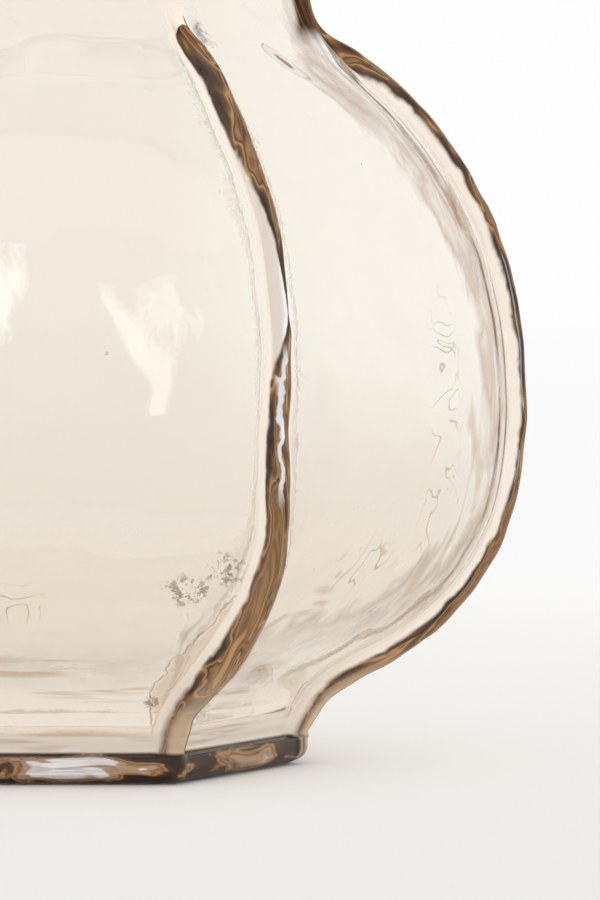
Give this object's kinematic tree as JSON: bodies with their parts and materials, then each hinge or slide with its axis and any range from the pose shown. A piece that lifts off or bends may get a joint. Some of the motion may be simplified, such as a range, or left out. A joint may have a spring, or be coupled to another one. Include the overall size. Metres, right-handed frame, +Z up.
{
  "type": "glass vase",
  "caption": "Large bulbous tinted glass vase with a cornered body, solid ribs along its corners, a thick base slab and an open flared mouth.",
  "frame": {"origin": "centre of the flat underside, on the surface that the vase stands on", "axes": "+Z up along the vase's axis, +X through the corner of rib_1, -Y out of the middle of a panel, which is the front"},
  "size_m": [0.26, 0.2318, 0.2533],
  "materials": {
    "tea_glass": "hand-blown transparent glass with a pale tea tint, fire polished, with chill marks, waves and small bubbles"
  },
  "bodies": {
    "root": {"bowl": "tea_glass", "base_slab": "tea_glass", "rib_1": "tea_glass", "rib_2": "tea_glass", "rib_3": "tea_glass", "rib_4": "tea_glass", "rib_5": "tea_glass", "rib_6": "tea_glass"}
  },
  "joints": []
}
